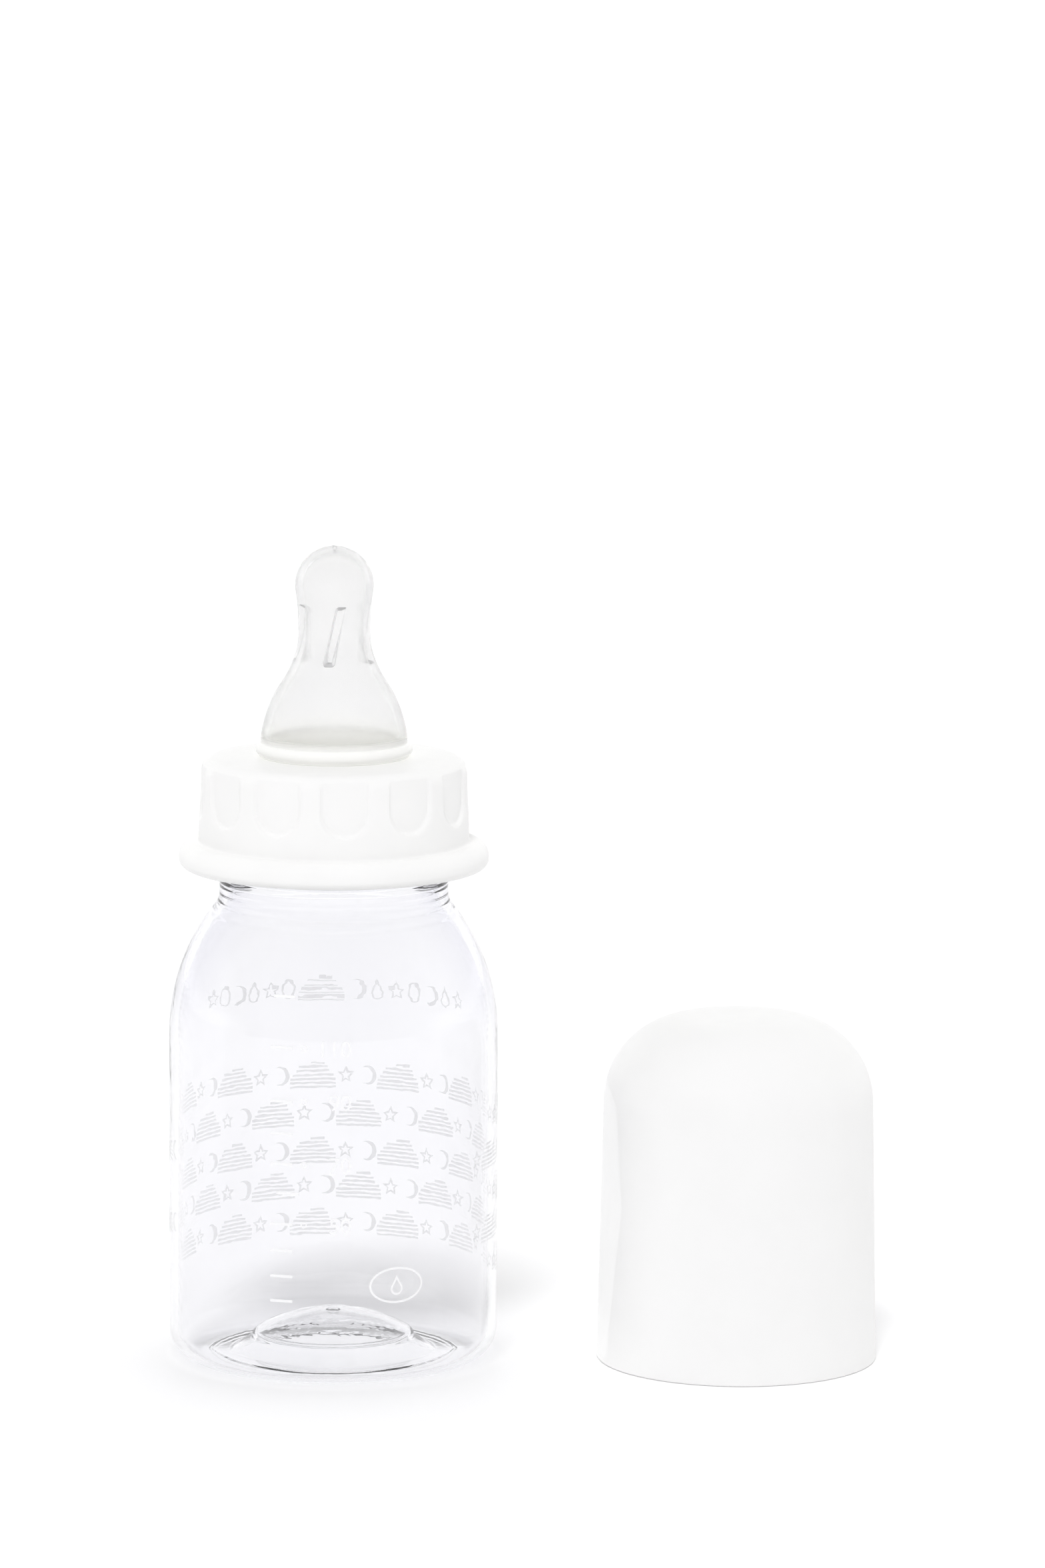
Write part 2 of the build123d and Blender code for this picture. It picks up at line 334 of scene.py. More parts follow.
def make_bottle():
    neck = [
        (NECK_ROOT_RADIUS, NECK_ROOT_TOP, 0.25),
        (NECK_RADIUS, NECK_ROOT_TOP + 0.1, 0.15),
        (NECK_RADIUS, RIM_HEIGHT, RIM_ROUNDING),
        (NECK_BORE, RIM_HEIGHT, RIM_ROUNDING),
        (NECK_BORE, NECK_BORE_START, 0.5),
        (NECK_ROOT_RADIUS - BOTTLE_WALL, NECK_ROOT_TOP - BOTTLE_WALL, 0.5),
    ]
    outside = base_outside() + shoulder(0)
    inside = refined((base_inside() + shoulder(BOTTLE_WALL))[::-1], 0.3)
    turned = rounded([outside[-1], *neck, inside[0]])
    outline = outside + refined(turned, 0.2)[1:-1] + inside
    rim_row = max(range(len(outline)), key=lambda row: outline[row][1])

    def shift(row, radius, height, angle):
        if abs(radius - NECK_RADIUS) < 0.01 and height > NECK_ROOT_TOP + 0.5:
            return radius + thread_rise(height, angle, THREAD_START, NECK_THREAD_CREST - NECK_RADIUS)
        if row > rim_row and height > NECK_RIPPLES[0] - 1:
            steps = [(height - place) / NECK_RIPPLE_WIDTH for place in NECK_RIPPLES]
            return radius - NECK_RIPPLE * sum(math.exp(-(step**2)) for step in steps)
        return radius

    return lathe("bottle_shell", outline, 288, closed=False, shift=shift)


# ---- Teat -----------------------------------------------------------------------------------
def smooth_path(points, first, last, steps):
    """A smooth curve through points, with its directions at the two ends given."""
    tangents = []
    for index in range(len(points)):
        before = points[max(index - 1, 0)]
        after = points[min(index + 1, len(points) - 1)]
        tangents.append(((after[0] - before[0]) / 2, (after[1] - before[1]) / 2))
    for index, other, direction in ((0, 1, first), (-1, -2, last)):
        length = math.dist(points[index], points[other])
        tangents[index] = (direction[0] * length, direction[1] * length)
    result = []
    for index in range(len(points) - 1):
        pulls = (points[index], tangents[index], points[index + 1], tangents[index + 1])
        for step in range(steps):
            t = step / steps
            weights = (
                2 * t**3 - 3 * t**2 + 1,
                t**3 - 2 * t**2 + t,
                -2 * t**3 + 3 * t**2,
                t**3 - t**2,
            )
            result.append(tuple(sum(w * p[axis] for w, p in zip(weights, pulls)) for axis in (0, 1)))
    return result + [points[-1]]


def teat_skin(inset):
    """The teat's outline from the foot of its flare up to its tip, moved inwards by inset."""
    wrap = math.radians(HEAD_WRAP)
    head_end = (HEAD_RADIUS * math.cos(wrap), HEAD_CENTRE - HEAD_RADIUS * math.sin(wrap))
    points = [FLARE_END, *WAIST_AND_FLARE[::-1], head_end]
    flare = smooth_path(points, (0, 1), (math.sin(wrap), math.cos(wrap)), 14)
    hole = math.degrees(math.asin(MILK_HOLE_RADIUS / (HEAD_RADIUS - inset)))
    skin = []
    for index, point in enumerate(flare[:-1]):
        before = flare[max(index - 1, 0)]
        after = flare[index + 1]
        along = (Vector(after) - Vector(before)).normalized() if index else Vector((0, 1))
        skin.append((point[0] - along.y * inset, point[1] + along.x * inset))
    return skin + arc((0, HEAD_CENTRE), HEAD_RADIUS - inset, -HEAD_WRAP, 90 - hole, 3.0)


def make_teat():
    lip_inner, lip_outer, lip_depth = SEAL_LIP
    ring_under = RING_TOP - RING_TOP_THICKNESS
    foot = [
        (TEAT_BORE, RIM_HEIGHT, 0.3),
        (lip_inner, RIM_HEIGHT, 0.2),
        (lip_inner, RIM_HEIGHT - lip_depth, 0.3),
        (lip_outer, RIM_HEIGHT - lip_depth, 0.3),
        (lip_outer, RIM_HEIGHT, 0.2),
        (TEAT_FLANGE_RADIUS, RIM_HEIGHT, 0.4),
        (TEAT_FLANGE_RADIUS, ring_under, 0.4),
        (GROOVE_RADIUS, ring_under, 0.3),
        (GROOVE_RADIUS, RING_TOP, 0.3),
        (BEAD_FOOT, RING_TOP, 0.2),
    ]
    bead_centre, bead_radius = BEAD
    outside = rounded(foot + arc(bead_centre, bead_radius, -60, 75) + teat_skin(0))
    inside = teat_skin(TEAT_WALL)[::-1]
    inside += rounded([inside[-1], (TEAT_BORE, TEAT_BORE_TOP, 0.6), (TEAT_BORE, RIM_HEIGHT + 0.4)])[1:]
    inner_row = len(outside)

    def shift(row, radius, height, angle):
        if row < inner_row or not RIB_FOOT - 1 < height < RIB_FOOT + RIB_LENGTH + 1:
            return radius
        lean = math.tan(math.radians(RIB_LEAN)) * (height - RIB_FOOT - RIB_LENGTH / 2)
        pitch = 2 * math.pi / RIB_COUNT
        around = (angle - math.radians(RIB_PHASE) - lean / radius + pitch / 2) % pitch - pitch / 2
        side = (RIB_WIDTH / 2 - abs(around) * radius) / RIB_EDGE + 0.5
        low = (height - RIB_FOOT) / RIB_EDGE + 0.5
        high = (RIB_FOOT + RIB_LENGTH - height) / RIB_EDGE + 0.5
        share = smooth_step(side) * smooth_step(low) * smooth_step(high)
        return radius - max(0.0, radius - RIB_INNER_RADIUS) * share

    return lathe("teat_body", outside + refined(inside, 0.25), 288, shift=shift)


# ---- Screw ring -----------------------------------------------------------------------------
def grip_share(height, angle):
    """How far a place on the ring's wall lies in a grip: 0 outside, 1 on the grip's floor."""
    pitch = 360 / GRIP_COUNT
    around = (math.degrees(angle) + 90 - GRIP_PHASE + pitch / 2) % pitch - pitch / 2
    across = math.radians(around) * RING_CREASE[0]
    below = min(0.0, height - GRIP_FOOT - GRIP_WIDTH / 2)
    return smooth_step((GRIP_WIDTH / 2 - math.hypot(across, below)) / GRIP_EDGE)


def make_ring():
    relief_inner, relief_outer, relief_depth = RING_RELIEF
    flange_top = (RING_FLANGE_RADIUS - RING_FLANGE_TOP_ROUND, RING_CREASE[1] - RING_FLANGE_TOP_ROUND)
    under = [
        (RING_BORE, RING_BOTTOM, 0.3),
        (relief_inner, RING_BOTTOM, 0.2),
        (relief_inner, RING_BOTTOM + relief_depth, 0.2),
        (relief_outer, RING_BOTTOM + relief_depth, 0.2),
        (relief_outer, RING_BOTTOM, 0.2),
        (RING_FLANGE_RADIUS, RING_BOTTOM, RING_FLANGE_FOOT_ROUND),
        *arc(flange_top, RING_FLANGE_TOP_ROUND, 0, 90),
        (*RING_CREASE, 0.5),
    ]
    top = [
        (RING_TOP_RADIUS, RING_EDGE_HEIGHT, RING_ROUNDING),
        (RING_TOP_FLAT, RING_TOP, 6.0),
        (RING_HOLE, RING_TOP, 0.3),
        (RING_HOLE, RING_TOP - RING_TOP_THICKNESS, 0.2),
        (RING_BORE, RING_TOP - RING_TOP_THICKNESS, 0.3),
    ]
    outline = rounded(under + top)
    outline = refined(outline + outline[:1], 0.28)[:-1]

    def shift(row, radius, height, angle):
        if radius > GRIP_FLOOR and height > RING_CREASE[1] + 0.5:
            return radius - (radius - GRIP_FLOOR) * grip_share(height, angle)
        if abs(radius - RING_BORE) < 0.01:
            rise = RING_BORE - RING_THREAD_CREST
            return radius - thread_rise(height, angle, THREAD_START - RING_THREAD_DROP, rise)
        return radius

    return lathe("ring_body", outline, 384, shift=shift)


# ---- Cap ------------------------------------------------------------------------------------
def cap_skin(inset):
    """The cap's outline from the top of its wall to the middle of its crown."""
    drop = math.sqrt((CAP_CROWN_ARC - CAP_SHOULDER_ARC) ** 2 - CAP_SHOULDER_CENTRE[0] ** 2)
    turn = math.degrees(math.atan2(drop, CAP_SHOULDER_CENTRE[0]))
    points = arc(CAP_SHOULDER_CENTRE, CAP_SHOULDER_ARC - inset, CAP_DRAFT, turn, 3.0)
    points += arc((0, CAP_SHOULDER_CENTRE[1] - drop), CAP_CROWN_ARC - inset, turn, 90, 1.0)[1:]
    points[-1] = (0, points[-1][1])
    return points


def make_cap():
    outside = cap_skin(0)
    inside = cap_skin(CAP_WALL)
    mouth = outside[0][0] + outside[0][1] * math.tan(math.radians(CAP_DRAFT))
    corners = [
        (CAP_SEAT_RADIUS, CAP_SEAT_LENGTH, 0.3),
        (CAP_SEAT_RADIUS, 0, CAP_LIP_ROUNDING),
        (mouth, 0, CAP_LIP_ROUNDING),
    ]
    outline = refined(rounded([inside[0], *corners, outside[0]]), 2.5) + outside[1:] + inside[:0:-1]
    return lathe("cap_shell", outline, 256, CAP_PLACE)


# ---- Printed marks: drawn flat in millimetres round the body (x = 0 in front) and by height ----
def skin_radius(height):
    """The bottle's outer radius at a height on its wall or shoulder."""
    if height < SHOULDER_START:
        return BODY_RADIUS
    rise = height - SHOULDER_START
    return BODY_RADIUS - SHOULDER_ARC + math.sqrt(SHOULDER_ARC**2 - rise**2)


def at_front(azimuth):
    """Distance round the body of an angle in degrees from the front towards +X."""
    return BODY_RADIUS * math.radians(azimuth)


def at_back(azimuth):
    """Distance round the body of an angle in degrees from the back's middle towards +X."""
    return at_front(180 - azimuth)


def moved(loops, x, y):
    """The same loops, moved sideways and up."""
    return [[(px + x, py + y) for px, py in loop] for loop in loops]


def bar(x, y, width, height):
    """A level bar about its middle."""
    across, up = width / 2, height / 2
    return [[(x - across, y - up), (x + across, y - up), (x + across, y + up), (x - across, y + up)]]


def oval(across, up, count=28):
    turns = [2 * math.pi * index / count for index in range(count)]
    return [(across * math.cos(turn), up * math.sin(turn)) for turn in turns]


def ring_shape(across, up, stroke):
    """An oval's outline, its half sizes given."""
    return [oval(across, up), oval(across - stroke, up - stroke)]


def star_shape(radius, stroke):
    """A five-pointed star's outline."""
    loops = []
    for reach in (radius, radius - 2 * stroke):
        loop = []
        for index in range(10):
            turn = math.radians(90 + 36 * index)
            length = reach if index % 2 == 0 else reach * 0.5
            loop.append((length * math.cos(turn), length * math.sin(turn)))
        loops.append(loop)
    return loops


def moon_shape(radius):
    """A crescent, open towards +x."""
    hollow = radius * 0.88
    offset = radius * 0.32
    meet = math.degrees(math.acos((radius**2 + offset**2 - hollow**2) / (2 * radius * offset)))
    tip = (radius * math.cos(math.radians(meet)), radius * math.sin(math.radians(meet)))
    inner = math.degrees(math.atan2(tip[1], tip[0] - offset))
    outside = arc((0, 0), radius, meet, 360 - meet, 15.0)
    return [outside + arc((offset, 0), hollow, 360 - inner, inner, 15.0)[1:-1]]


def drop_shape(radius, stroke):
    """A drop's outline, its point upwards."""
    loops = []
    for reach in (radius, radius - stroke):
        loops.append(arc((0, 0), reach, 150, 390, 15.0) + [(0, 2.1 * reach)])
    return loops


def cloud_shape():
    """A cloud made of level stripes, standing on y = 0. Its puffs are (x, y, radius)."""
    puffs = [(-2.6, 1.3, 1.4), (-0.8, 2.5, 2.1), (1.4, 2.2, 1.7), (2.9, 1.2, 1.2)]
    loops = []
    for stripe in range(CLOUD_STRIPES):
        height = stripe * CLOUD_PITCH + 0.2
        spans = []
        for x, y, radius in puffs:
            away = max(height - y, 0)
            if away < radius:
                half = math.sqrt(radius**2 - away**2)
                spans.append((x - half, x + half))
        left, right = min(spans)[0], max(end for start, end in spans)
        loops += bar((left + right) / 2, height, right - left, CLOUD_STROKE)
    return loops


def flat_mesh(curve):
    """Fill a flat curve's loops and give them the ink's thickness."""
    curve.extrude = (INK_RISE + INK_SINK) / 2
    flat = bpy.data.objects.new("flat", curve)
    bpy.context.scene.collection.objects.link(flat)
    mesh = bpy.data.meshes.new_from_object(flat.evaluated_get(bpy.context.evaluated_depsgraph_get()))
    bpy.data.objects.remove(flat)
    return mesh


def filled(loops):
    curve = bpy.data.curves.new("loops", "CURVE")
    curve.dimensions = "2D"
    curve.fill_mode = "BOTH"
    for loop in loops:
        spline = curve.splines.new("POLY")
        spline.points.add(len(loop) - 1)
        for point, (x, y) in zip(spline.points, loop):
            point.co = (x, y, 0, 1)
        spline.use_cyclic_u = True
    return flat_mesh(curve)


def numeral(text, right, middle, height):
    """A number drawn with its right edge and its middle height given."""
    curve = bpy.data.curves.new("numeral", "FONT")
    curve.body = text
    curve.align_x = "RIGHT"
    curve.size = height / CAPITAL_SHARE
    curve.resolution_u = 4
    mesh = flat_mesh(curve)
    mesh.transform(Matrix.Translation((right, middle - height / 2, 0)))
    return mesh


def wrapped(name, meshes):
    """Lay flat ink round the bottle, sunk a little into its skin."""
    shape = bmesh.new()
    for mesh in meshes:
        shape.from_mesh(mesh)
        bpy.data.meshes.remove(mesh)
    bmesh.ops.remove_doubles(shape, verts=shape.verts, dist=1e-4)
    for axis in (0, 1):
        low = min(vertex.co[axis] for vertex in shape.verts)
        high = max(vertex.co[axis] for vertex in shape.verts)
        count = math.ceil((high - low) / INK_CUT)
        normal = Vector((axis == 0, axis == 1, 0))
        for index in range(1, count):
            geometry = shape.verts[:] + shape.edges[:] + shape.faces[:]
            place = normal * (low + index * INK_CUT)
            bmesh.ops.bisect_plane(shape, geom=geometry, dist=1e-5, plane_co=place, plane_no=normal)
    for vertex in shape.verts:
        turn = vertex.co.x / BODY_RADIUS - math.pi / 2
        radius = skin_radius(vertex.co.y) + (INK_RISE if vertex.co.z > 0 else -INK_SINK)
        place = (radius * math.cos(turn), radius * math.sin(turn), vertex.co.y)
        vertex.co = Vector(place) * MM
    bmesh.ops.recalc_face_normals(shape, faces=shape.faces)
    mesh = bpy.data.meshes.new(name)
    shape.to_mesh(mesh)
    shape.free()
    piece = bpy.data.objects.new(name, mesh)
    bpy.context.scene.collection.objects.link(piece)
    return piece


def make_volume_scale():
    """Level marks up the front, some with a small ring and a number."""
    loops = []
    numerals = []
    for height, text in SCALE_MARKS:
        start = SCALE_SHIFTED_START if height == SCALE_SHIFTED else SCALE_START
        loops += bar(at_front(start) + SCALE_LENGTH / 2, height, SCALE_LENGTH, SCALE_STROKE)
        if text:
            loops += moved(ring_shape(*SCALE_RING), at_front(SCALE_RING_PLACE), height)
            numerals.append(numeral(text, at_front(NUMERAL_END), height, NUMERAL_HEIGHT))
    return wrapped("volume_scale", [filled(loops), *numerals])


def make_drop_mark():
    """A drop in an oval, low on the front."""
    x, y = at_front(MARK_PLACE[0]), MARK_PLACE[1]
    loops = moved(ring_shape(*MARK_SIZE, 0.35), x, y)
    loops += moved(drop_shape(1.05, DROP_STROKE), x, y - 0.6)
    return wrapped("drop_mark", [filled(loops)])


def make_print_rows():
    """Rows of striped clouds, each between a star and a moon, round the back and the sides."""
    loops = []
    for height, phase in PRINT_ROWS:
        for index in range(PRINT_COUNT):
            azimuth = (180 - phase - index * 360 / PRINT_COUNT) % 360
            if PRINT_FROM < azimuth < PRINT_TO:
                x = at_front(azimuth)
                loops += moved(cloud_shape(), x, height - CLOUD_MIDDLE)
                loops += moved(star_shape(1.5, STROKE), x - 5.75, height)
                loops += moved(moon_shape(1.6), x + 5.85, height)
    return wrapped("print_rows", [filled(loops)])


def make_print_band():
    """One row of larger thin shapes high on the back."""
    shapes = [
        star_shape(1.75, STROKE),
        ring_shape(1.3, 1.75, 0.35),
        moon_shape(1.7),
        moved(drop_shape(1.2, DROP_STROKE), 0, -0.6),
    ]
    loops = moved(cloud_shape(), at_back(-5.9), BAND_HEIGHT - CLOUD_MIDDLE)
    places = [-25.2 + 3.3 * index for index in range(6)] + [3.5 + 3.6 * index for index in range(7)]
    for index, place in enumerate(places):
        loops += moved(shapes[index % len(shapes)], at_back(0) - place, BAND_HEIGHT)
    return wrapped("print_band", [filled(loops)])


# ---- Materials ------------------------------------------------------------------------------
def new_material(name):
    """A material with a lone Principled shader, its node tree and that shader."""
    material = bpy.data.materials.new(name)
    material.use_nodes = True
    return material, material.node_tree, material.node_tree.nodes["Principled BSDF"]


def noise(tree, scale, detail=2.0):
    """A noise pattern fixed to the object, its scale in features per metre."""
    place = tree.nodes.new("ShaderNodeTexCoord")
    pattern = tree.nodes.new("ShaderNodeTexNoise")
    pattern.inputs["Scale"].default_value = scale
    pattern.inputs["Detail"].default_value = detail
    tree.links.new(place.outputs["Object"], pattern.inputs["Vector"])
    return pattern.outputs["Fac"]


def mapped(tree, value, start, end):
    """A number that runs from 0 to 1 as value runs from start to end."""
    spread = tree.nodes.new("ShaderNodeMapRange")
    spread.inputs["From Min"].default_value = start
    spread.inputs["From Max"].default_value = end
    tree.links.new(value, spread.inputs["Value"])
    return spread.outputs["Result"]


def between(tree, value, low, high):
    """A number that runs from low to high as value runs over the noise's usual span."""
    spread = tree.nodes.new("ShaderNodeMapRange")
    spread.inputs["From Min"].default_value = 0.3
    spread.inputs["From Max"].default_value = 0.7
    spread.inputs["To Min"].default_value = low
    spread.inputs["To Max"].default_value = high
    tree.links.new(value, spread.inputs["Value"])
    return spread.outputs["Result"]


def tinted(tree, value, low, high):
    """A colour that runs from low to high with value."""
    ramp = tree.nodes.new("ShaderNodeValToRGB")
    ramp.color_ramp.elements[0].position = 0.3
    ramp.color_ramp.elements[0].color = (*low, 1)
    ramp.color_ramp.elements[1].position = 0.7
    ramp.color_ramp.elements[1].color = (*high, 1)
    tree.links.new(value, ramp.inputs["Fac"])
    return ramp.outputs["Color"]


def bumped(tree, shader, value, distance):
    """Raise the surface by value times a distance in millimetres."""
    bump = tree.nodes.new("ShaderNodeBump")
    bump.inputs["Strength"].default_value = 1.0
    bump.inputs["Distance"].default_value = distance * MM
    tree.links.new(value, bump.inputs["Height"])
    tree.links.new(bump.outputs["Normal"], shader.inputs["Normal"])


def lit_through(material, tree, shader, through, edge):
    """Let lamps shine through a clear piece, less so where its wall is seen edge on."""
    facing = tree.nodes.new("ShaderNodeLayerWeight")
    facing.inputs["Blend"].default_value = 0.35
    share = mapped(tree, facing.outputs["Facing"], 0.7, 1.0)
    passing = tree.nodes.new("ShaderNodeBsdfTransparent")
    rays = tree.nodes.new("ShaderNodeLightPath")
    mix = tree.nodes.new("ShaderNodeMixShader")
    tree.links.new(mixed(tree, share, through, edge), passing.inputs["Color"])
    tree.links.new(rays.outputs["Is Shadow Ray"], mix.inputs["Fac"])
    tree.links.new(shader.outputs["BSDF"], mix.inputs[1])
    tree.links.new(passing.outputs["BSDF"], mix.inputs[2])
    tree.links.new(mix.outputs["Shader"], tree.nodes["Material Output"].inputs["Surface"])
    return material


def by_height(tree, stops):
    """A colour set by height: a list of (millimetres, colour), lowest first."""
    low, high = stops[0][0], stops[-1][0]
    share = mapped(tree, coordinates(tree)[1], low * MM, high * MM)
    ramp = tree.nodes.new("ShaderNodeValToRGB")
    for index, (height, colour) in enumerate(stops):
        position = (height - low) / (high - low)
        if 0 < index < len(stops) - 1:
            ramp.color_ramp.elements.new(position)
        ramp.color_ramp.elements[index].position = position
        ramp.color_ramp.elements[index].color = (*colour, 1)
    tree.links.new(share, ramp.inputs["Fac"])
    return ramp.outputs["Color"]


def coordinates(tree):
    """Distance from the bottle's axis, and height, both in metres."""
    place = tree.nodes.new("ShaderNodeTexCoord")
    parts = tree.nodes.new("ShaderNodeSeparateXYZ")
    flat = tree.nodes.new("ShaderNodeVectorMath")
    flat.operation = "MULTIPLY"
    flat.inputs[1].default_value = (1, 1, 0)
    reach = tree.nodes.new("ShaderNodeVectorMath")
    reach.operation = "LENGTH"
    tree.links.new(place.outputs["Object"], parts.inputs["Vector"])
    tree.links.new(place.outputs["Object"], flat.inputs[0])
    tree.links.new(flat.outputs["Vector"], reach.inputs[0])
    return reach.outputs["Value"], parts.outputs["Z"]


def joined(tree, operation, first, second):
    """Two numbers put together by a Math node."""
    node = tree.nodes.new("ShaderNodeMath")
    node.operation = operation
    tree.links.new(first, node.inputs[0])
    tree.links.new(second, node.inputs[1])
    return node.outputs["Value"]


def mixed(tree, share, first, second, blend="MIX"):
    """Mix two colours, each an output or a plain colour."""
    node = tree.nodes.new("ShaderNodeMix")
    node.data_type = "RGBA"
    node.blend_type = blend
    for socket, value in ((node.inputs[0], share), (node.inputs[6], first), (node.inputs[7], second)):
        if isinstance(value, bpy.types.NodeSocket):
            tree.links.new(value, socket)
        elif isinstance(value, float):
            socket.default_value = value
        else:
            socket.default_value = (*value, 1)
    return node.outputs[2]


def clouded(tree, colour, value):
    """Darken a colour a little where value is low."""
    return mixed(tree, 1.0, colour, tinted(tree, value, (0.985, 0.985, 0.99), (1, 1, 1)), "MULTIPLY")


def clear_plastic():
    """Clear plastic: clearest in the thin base, a little hazy in the wall, with painted lavender shade on
    the shoulders where they are seen at a slant.
    """
    material, tree, shader = new_material("clear_plastic")
    reach, height = coordinates(tree)
    outer = mapped(tree, reach, 21 * MM, 24 * MM)
    wall = joined(tree, "MAXIMUM", outer, mapped(tree, height, 7 * MM, 9 * MM))
    # Painted shade: the shoulders darken to lavender where their wall is seen at a slant, standing in for
    # the dark reflections there.
    slanting = tree.nodes.new("ShaderNodeLayerWeight")
    steep = mapped(tree, slanting.outputs["Facing"], 0.3, 0.8)
    above = mapped(tree, height, SHOULDER_START * MM, (SHOULDER_START + 8) * MM)
    painted_shoulder_shade = joined(tree, "MULTIPLY", steep, above)
    walls = mixed(tree, painted_shoulder_shade, (0.942, 0.942, 0.951), (0.75, 0.75, 0.81))
    colour = mixed(tree, wall, (0.985, 0.985, 0.99), walls)
    tree.links.new(clouded(tree, colour, noise(tree, 40)), shader.inputs["Base Color"])
    shader.inputs["Roughness"].default_value = 0.0
    shader.inputs["IOR"].default_value = 1.46
    shader.inputs["Transmission Weight"].default_value = 1.0
    bumped(tree, shader, noise(tree, 160, 3.0), 0.03)
    rim = joined(tree, "MULTIPLY", outer, mapped(tree, height, 4 * MM, 1 * MM))
    through = mixed(tree, rim, (0.985, 0.985, 0.99), (0.9, 0.9, 0.92))
    return lit_through(material, tree, shader, through, (0.4, 0.4, 0.42))


def silicone():
    """Clear silicone, milky and creamy in the thick bead and darkening a little towards the head."""
    material, tree, shader = new_material("silicone")
    stops = [
        (103, (0.99, 0.99, 0.96)),
        (106, (0.99, 0.99, 0.985)),
        (114, (0.985, 0.985, 0.98)),
        (122, (0.965, 0.965, 0.96)),
        (130, (0.95, 0.95, 0.945)),
    ]
    colour = by_height(tree, stops)
    tree.links.new(clouded(tree, colour, noise(tree, 90)), shader.inputs["Base Color"])
    tree.links.new(between(tree, noise(tree, 700), 0.16, 0.24), shader.inputs["Roughness"])
    milk = by_height(tree, [(102.2, (0.15, 0.15, 0.15)), (103.4, (0.85, 0.85, 0.85))])
    tree.links.new(milk, shader.inputs["Transmission Weight"])
    shader.inputs["IOR"].default_value = 1.33
    bumped(tree, shader, noise(tree, 900, 3.0), 0.01)
    return lit_through(material, tree, shader, (0.97, 0.97, 0.96), (0.85, 0.85, 0.84))


def ink(name, white, opacity):
    """Thin printed ink, nearly white, that lets some of what is behind it through."""
    material, tree, shader = new_material(name)
    colour = tinted(tree, noise(tree, 2500), (white, white, white), (white + 0.04,) * 3)
    tree.links.new(colour, shader.inputs["Base Color"])
    shader.inputs["Roughness"].default_value = 0.5
    shader.inputs["Alpha"].default_value = opacity
    bumped(tree, shader, noise(tree, 3000), 0.004)
    return material


def white_plastic(name, low, high):
    """Satin white plastic with a faint grain."""
    material, tree, shader = new_material(name)
    tree.links.new(tinted(tree, noise(tree, 120), low, high), shader.inputs["Base Color"])
    tree.links.new(between(tree, noise(tree, 500), 0.34, 0.44), shader.inputs["Roughness"])
    shader.inputs["IOR"].default_value = 1.49
    bumped(tree, shader, noise(tree, 1600, 3.0), 0.012)
    return material


# ---- Stage ----------------------------------------------------------------------------------
def make_floor():
    """A pale floor that glows faintly all over like a light table, with a brighter painted glow under the
    clear base that stands in for light passing through it.
    """
    size = 30.0
    drop = -0.05 * MM
    corners = [(-size, -size, drop), (size, -size, drop), (size, size, drop), (-size, size, drop)]
    mesh = bpy.data.meshes.new("floor")
    mesh.from_pydata(corners, [], [(0, 1, 2, 3)])
    floor = bpy.data.objects.new("floor", mesh)
    bpy.context.scene.collection.objects.link(floor)
    material, tree, shader = new_material("floor_white")
    shader.inputs["Base Color"].default_value = (0.95, 0.95, 0.95, 1)
    shader.inputs["Roughness"].default_value = 0.6
    shader.inputs["Specular IOR Level"].default_value = 0.1
    # Painted light: the floor glows brighter under the bottle's clear base, in place of the light the base
    # lets through.
    reach = coordinates(tree)[0]
    under = mapped(tree, reach, 28 * MM, 22 * MM)
    floor_glow_and_painted_light = mixed(tree, under, (0.07, 0.07, 0.07), (0.36, 0.36, 0.36))
    tree.links.new(floor_glow_and_painted_light, shader.inputs["Emission Color"])
    shader.inputs["Emission Strength"].default_value = 1.0
    mesh.materials.append(material)


def make_world():
    """A white studio: dimmer and a little lavender behind the camera, brightest at the horizon."""
    world = bpy.data.worlds.new("studio")
    world.use_nodes = True
    tree = world.node_tree
    place = tree.nodes.new("ShaderNodeTexCoord")
    parts = tree.nodes.new("ShaderNodeSeparateXYZ")
    tree.links.new(place.outputs["Generated"], parts.inputs["Vector"])
    away = tree.nodes.new("ShaderNodeVectorMath")
    away.operation = "DOT_PRODUCT"
    away.inputs[1].default_value = (0.12, 0.99, 0)
    tree.links.new(place.outputs["Generated"], away.inputs[0])
    depth = mapped(tree, away.outputs["Value"], -1.0, 1.0)
    walls = tree.nodes.new("ShaderNodeValToRGB")
    walls.color_ramp.elements[0].position = 0.1
    walls.color_ramp.elements[0].color = (0.47, 0.465, 0.49, 1)
    walls.color_ramp.elements[1].position = 0.8
    walls.color_ramp.elements[1].color = (0.88, 0.88, 0.88, 1)
    tree.links.new(depth, walls.inputs["Fac"])
    above = mapped(tree, parts.outputs["Z"], 0.3, 0.9)
    shaded = mixed(tree, above, (1, 1, 1), (0.62, 0.62, 0.62))
    room = mixed(tree, 1.0, walls.outputs["Color"], shaded, "MULTIPLY")
    level = mapped(tree, parts.outputs["Z"], 0.14, 0.07)
    ahead = mapped(tree, parts.outputs["Y"], -0.5, -0.1)
    horizon = joined(tree, "MULTIPLY", level, ahead)
    colour = mixed(tree, horizon, room, (1, 1, 1))
    background = tree.nodes["Background"]
    background.inputs["Strength"].default_value = 1.3
    tree.links.new(colour, background.inputs["Color"])
    bpy.context.scene.world = world


def make_sun(name, towards, strength, spread):
    """A soft far lamp that shines along a direction; spread is how wide it looks, in degrees."""
    data = bpy.data.lights.new(name, "SUN")
    data.energy = strength
    data.angle = math.radians(spread)
    lamp = bpy.data.objects.new(name, data)
    lamp.rotation_euler = Vector(towards).to_track_quat("-Z", "Y").to_euler()
    lamp.visible_transmission = False
    lamp.visible_glossy = False
    bpy.context.scene.collection.objects.link(lamp)


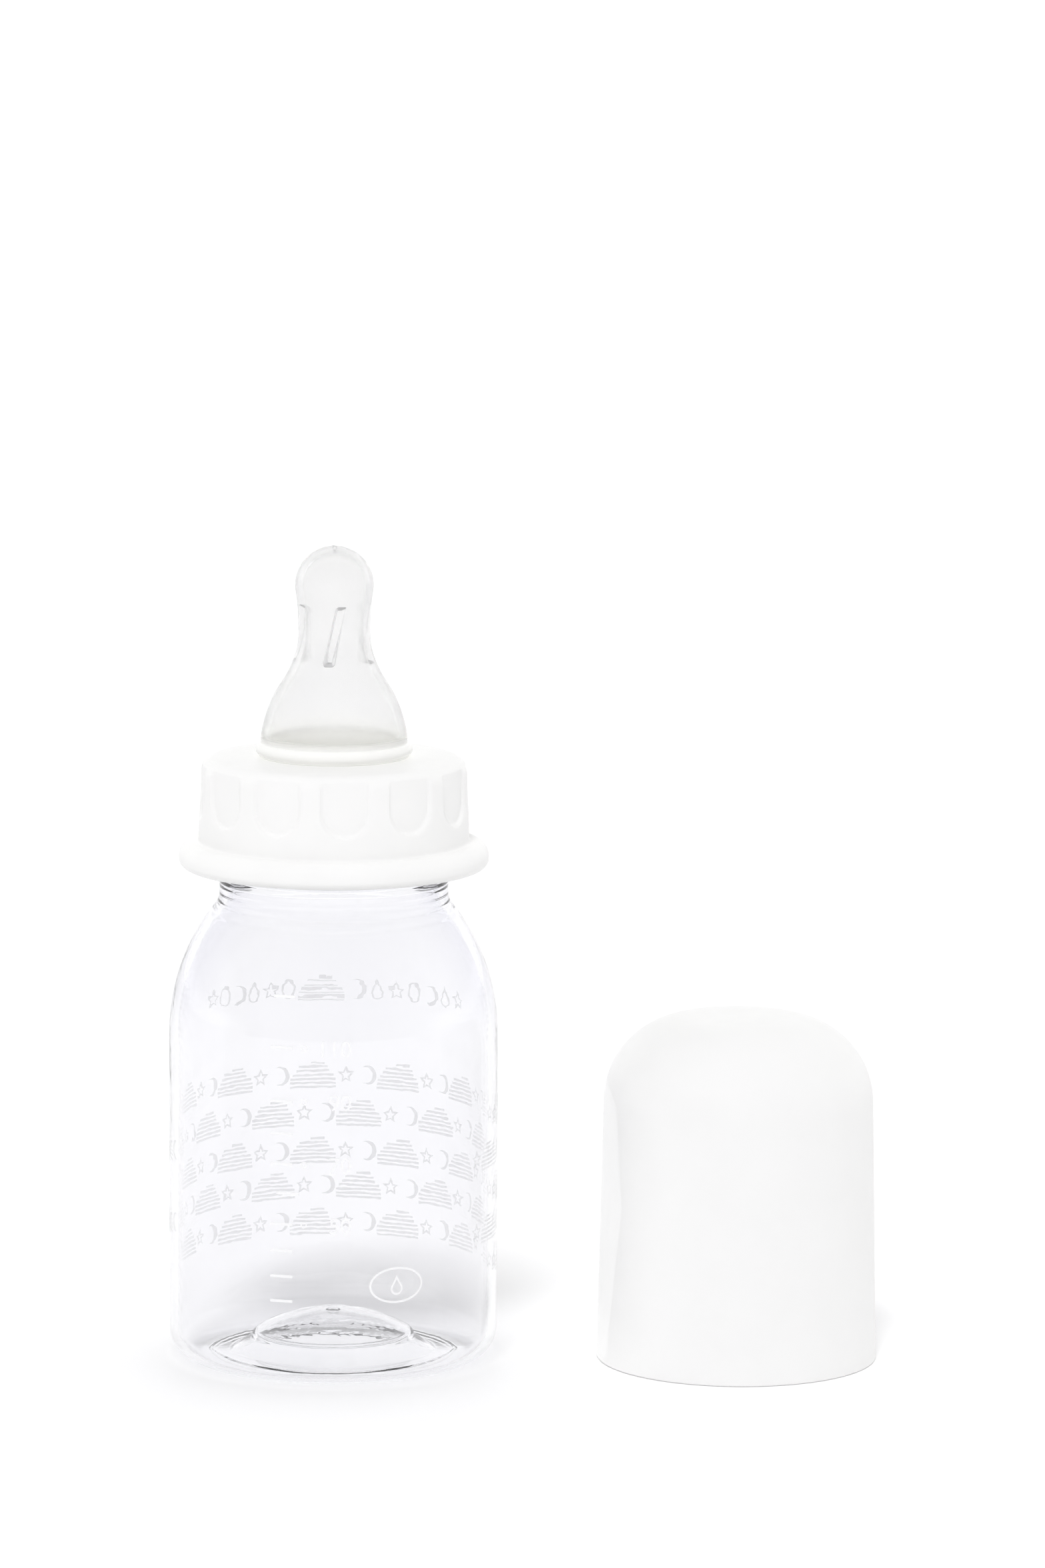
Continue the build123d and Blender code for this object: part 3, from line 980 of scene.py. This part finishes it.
def make_bounce(cap):
    """A weak lamp in the bottle that lights only the cap, for the light that the clear wall throws on it."""
    data = bpy.data.lights.new("bounce", "AREA")
    data.energy = 0.0125
    data.shape = "RECTANGLE"
    data.size = 40 * MM
    data.size_y = 52 * MM
    lamp = bpy.data.objects.new("bounce", data)
    lamp.location = (8 * MM, 0, 27 * MM)
    lamp.rotation_euler = Vector((1, 0, 0)).to_track_quat("-Z", "Y").to_euler()
    lamp.visible_camera = False
    lamp.visible_transmission = False
    lamp.visible_glossy = False
    bpy.context.scene.collection.objects.link(lamp)
    lit = bpy.data.collections.new("lit_by_bounce")
    lit.objects.link(cap)
    lamp.light_linking.receiver_collection = lit


def make_camera():
    """A long lens in front, a little above and to the right, looking slightly down."""
    data = bpy.data.cameras.new("camera")
    data.sensor_fit = "VERTICAL"
    data.sensor_height = 36
    data.lens = 185.45
    camera = bpy.data.objects.new("camera", data)
    down = 8.92
    lean = 0.32
    place = Matrix.Translation((0.0308, -1.3038, 0.29995))
    tilt = Matrix.Rotation(math.radians(90 - down), 4, "X")
    roll = Matrix.Rotation(math.radians(lean), 4, "Z")
    camera.matrix_world = place @ tilt @ roll
    bpy.context.scene.collection.objects.link(camera)
    bpy.context.scene.camera = camera
    bpy.context.scene.view_settings.view_transform = "Standard"


def fit(piece, body, node, material):
    """Give a piece its material and let it stand for a CAD node."""
    piece.data.materials.append(material)
    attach(piece, body)
    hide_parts(node)


fit(make_bottle(), "bottle", "bottle", clear_plastic())
fit(make_teat(), "teat", "teat", silicone())
ring_white = white_plastic("ring_white", (0.868, 0.868, 0.853), (0.882, 0.882, 0.867))
fit(make_ring(), "ring", "screw_ring", ring_white)
cap_white = white_plastic("cap_white", (0.856, 0.856, 0.843), (0.868, 0.868, 0.855))
cap = make_cap()
fit(cap, "cap", "cap", cap_white)

scale_ink = ink("scale_ink", 0.88, 1.0)
pattern_ink = ink("pattern_ink", 0.79, 0.17)
marks = [
    (make_volume_scale(), scale_ink),
    (make_drop_mark(), scale_ink),
    (make_print_rows(), pattern_ink),
    (make_print_band(), pattern_ink),
]
for mark, colour in marks:
    mark.data.materials.append(colour)
    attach(mark, "bottle")

make_floor()
make_world()
make_sun("key", (0.08, 0.5, -0.76), 1.5, 14.0)
make_bounce(cap)
make_camera()
